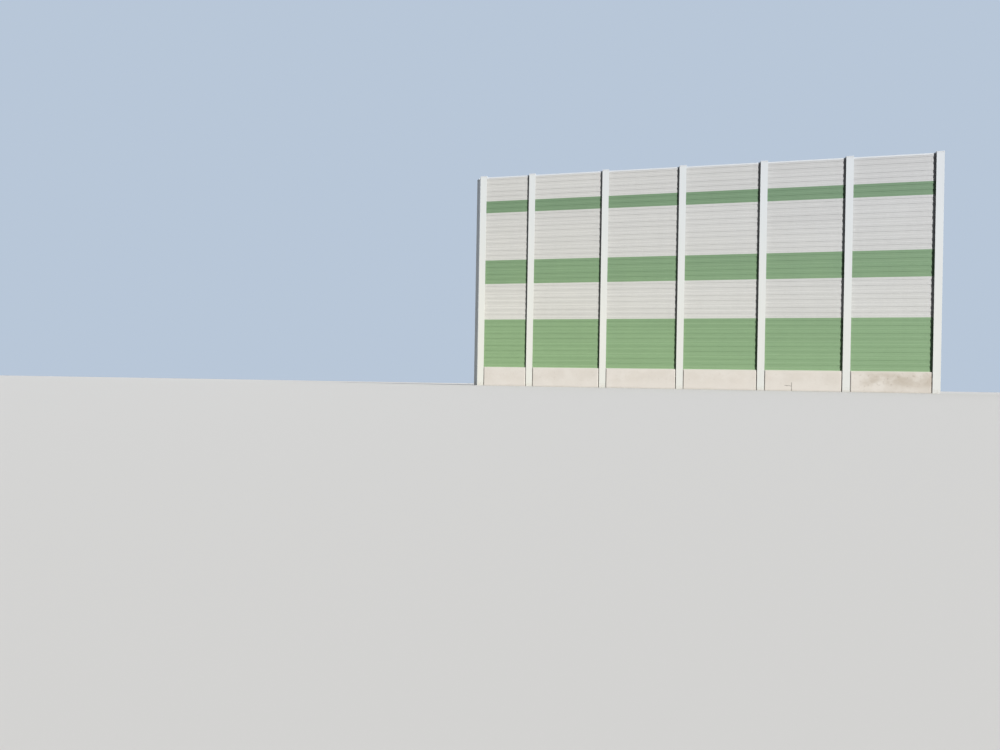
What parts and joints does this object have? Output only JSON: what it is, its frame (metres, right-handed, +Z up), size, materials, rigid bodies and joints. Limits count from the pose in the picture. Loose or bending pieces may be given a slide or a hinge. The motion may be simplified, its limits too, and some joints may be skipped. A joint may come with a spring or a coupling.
{
  "type": "noise barrier section",
  "caption": "Run of a tall noise barrier: ribbed white and green cassettes stacked on concrete plinths between steel H-section posts, with a corner at one end.",
  "frame": {"origin": "middle of the foot of post 4, the middle post, at ground level", "axes": "+X along the wall away from the corner post, +Y through the wall from the seen face to the hidden one, +Z up"},
  "size_m": [17.6026, 0.657, 8.8516],
  "materials": {
    "post_paint": "satin",
    "cassette_white": "satin",
    "cassette_green": "satin",
    "coping_paint": "satin",
    "plinth_concrete": "matt",
    "seal_rubber": "matt"
  },
  "bodies": {
    "root": {"post_1": "post_paint", "post_2": "post_paint", "post_3": "post_paint", "post_4": "post_paint", "post_5": "post_paint", "post_6": "post_paint", "post_7": "post_paint", "return_post": "post_paint", "corner_plate": "post_paint", "post_caps": "coping_paint", "plinth_1": "plinth_concrete", "white_cassettes_1": "cassette_white", "green_cassettes_1": "cassette_green", "coping_1": "coping_paint", "edge_seals_1": "seal_rubber", "plinth_2": "plinth_concrete", "white_cassettes_2": "cassette_white", "green_cassettes_2": "cassette_green", "coping_2": "coping_paint", "edge_seals_2": "seal_rubber", "plinth_3": "plinth_concrete", "white_cassettes_3": "cassette_white", "green_cassettes_3": "cassette_green", "coping_3": "coping_paint", "edge_seals_3": "seal_rubber", "plinth_4": "plinth_concrete", "white_cassettes_4": "cassette_white", "green_cassettes_4": "cassette_green", "coping_4": "coping_paint", "edge_seals_4": "seal_rubber", "plinth_5": "plinth_concrete", "white_cassettes_5": "cassette_white", "green_cassettes_5": "cassette_green", "coping_5": "coping_paint", "edge_seals_5": "seal_rubber", "plinth_6": "plinth_concrete", "white_cassettes_6": "cassette_white", "green_cassettes_6": "cassette_green", "coping_6": "coping_paint", "edge_seals_6": "seal_rubber"}
  },
  "joints": []
}
